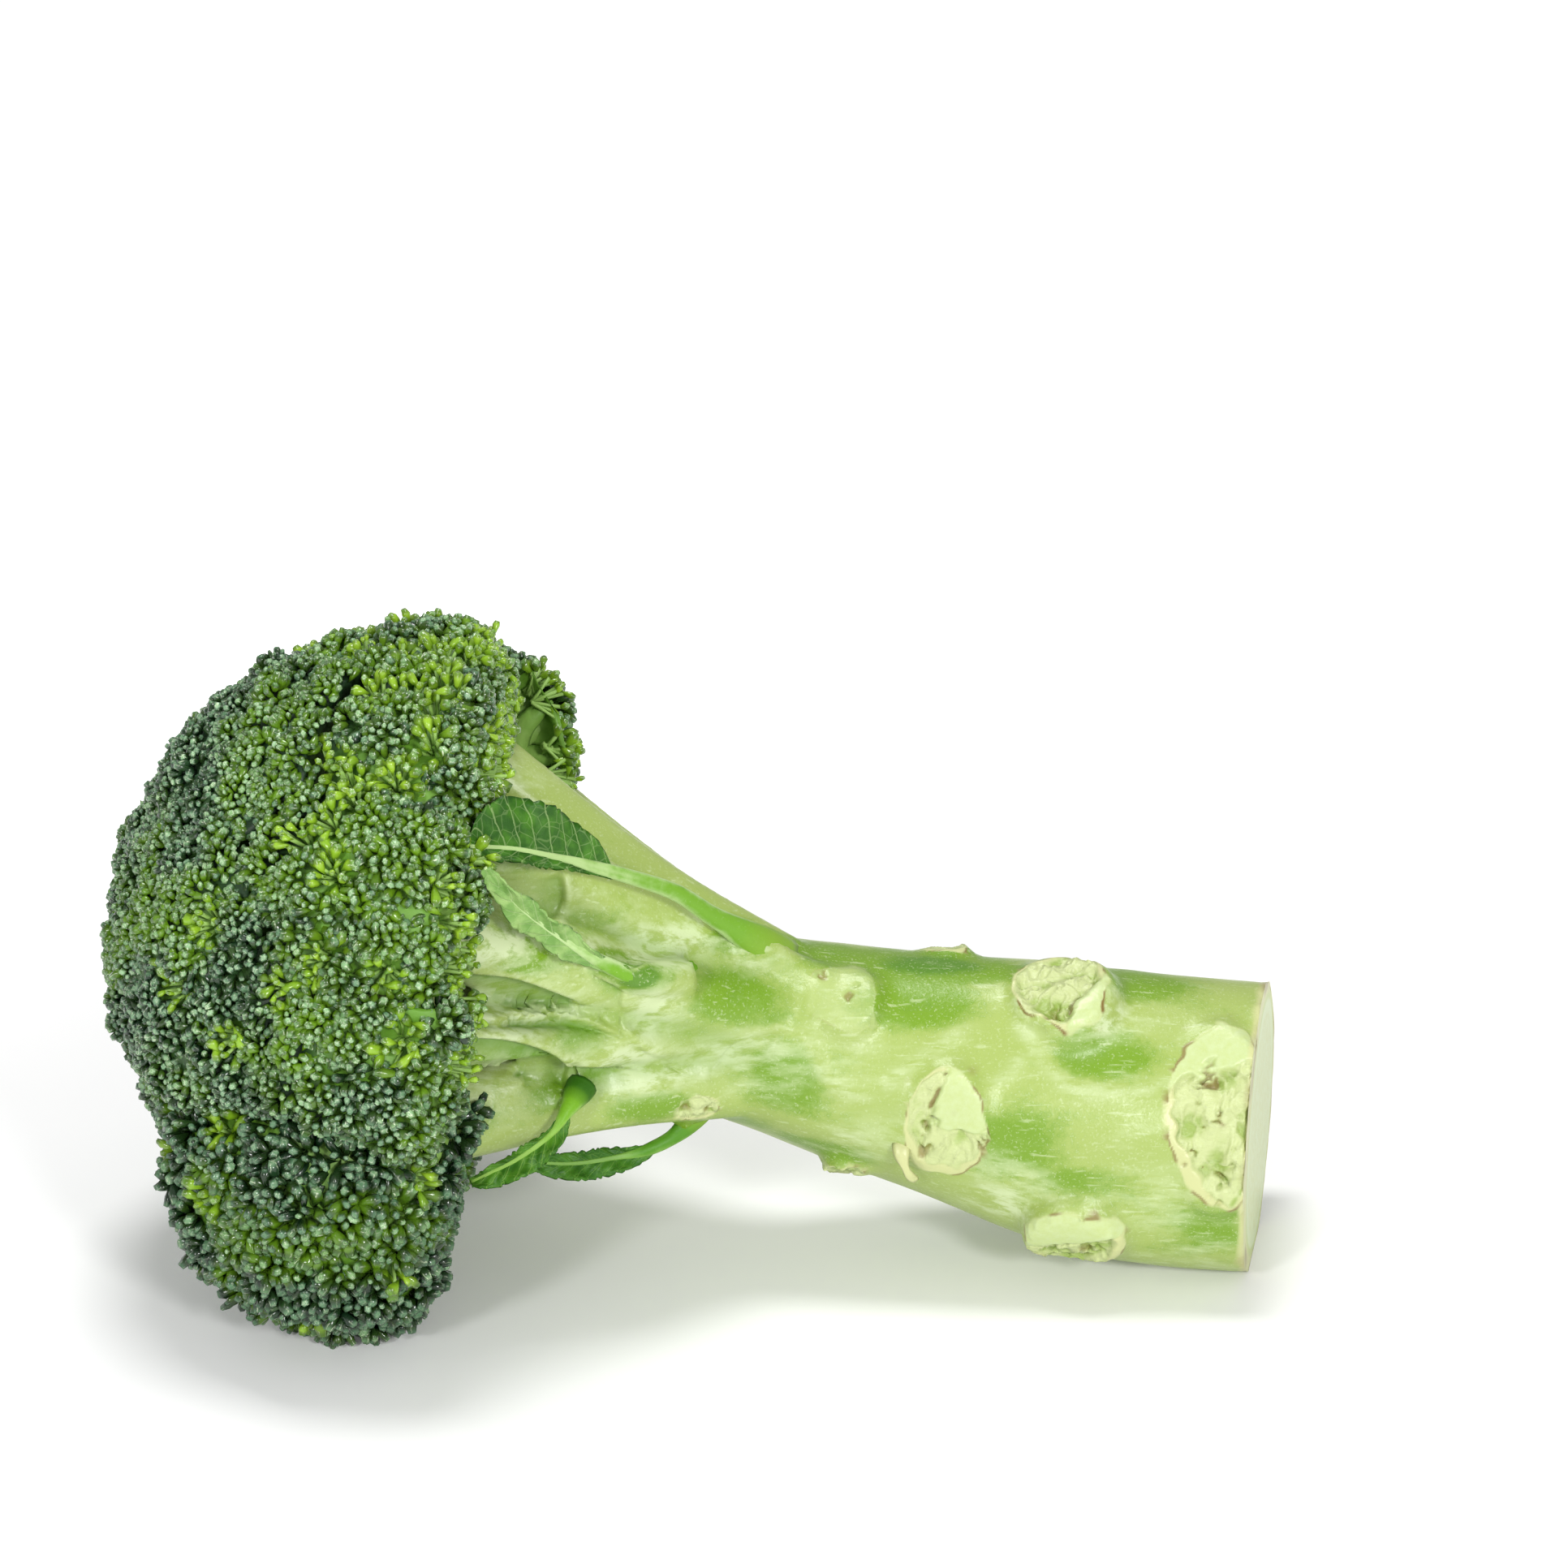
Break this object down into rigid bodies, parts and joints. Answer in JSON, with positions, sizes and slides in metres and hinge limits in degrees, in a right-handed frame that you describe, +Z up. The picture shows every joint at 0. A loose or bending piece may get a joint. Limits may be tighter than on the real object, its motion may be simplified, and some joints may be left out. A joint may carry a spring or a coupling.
{
  "type": "broccoli head",
  "caption": "Head of broccoli lying on its side: a thick cut stalk forking into branches under a domed crown of bud-covered florets, with small leaves left on.",
  "frame": {"origin": "middle of the bounding box at the level of the surface that the head lies on", "axes": "+X towards the cut end of the stalk, +Y away from the viewer of the best side, +Z up"},
  "size_m": [0.2045, 0.1169, 0.1148],
  "materials": {
    "stalk_skin": "pale green plant skin, mottled, with a whitish wax bloom and cream cut tissue",
    "buds": "tightly packed waxy blue-green flower buds, yellower at the rim",
    "leaf": "satin green leaf with a paler midrib"
  },
  "bodies": {
    "root": {"stalk": "stalk_skin", "floret_tip": "buds", "floret_crest_front": "buds", "floret_crest_upper": "buds", "floret_crest_back": "buds", "floret_crest_rear": "buds", "floret_crest_lower": "buds", "floret_rim_front": "buds", "floret_rim_front_middle": "buds", "floret_rim_front_low": "buds", "floret_rim_back_low": "buds", "floret_rim_back": "buds", "floret_rim_back_high": "buds", "floret_rim_top": "buds", "floret_rim_front_high": "buds", "leaf_upper": "leaf", "leaf_front": "leaf", "leaf_lower": "leaf", "leaf_under": "leaf"}
  },
  "joints": []
}
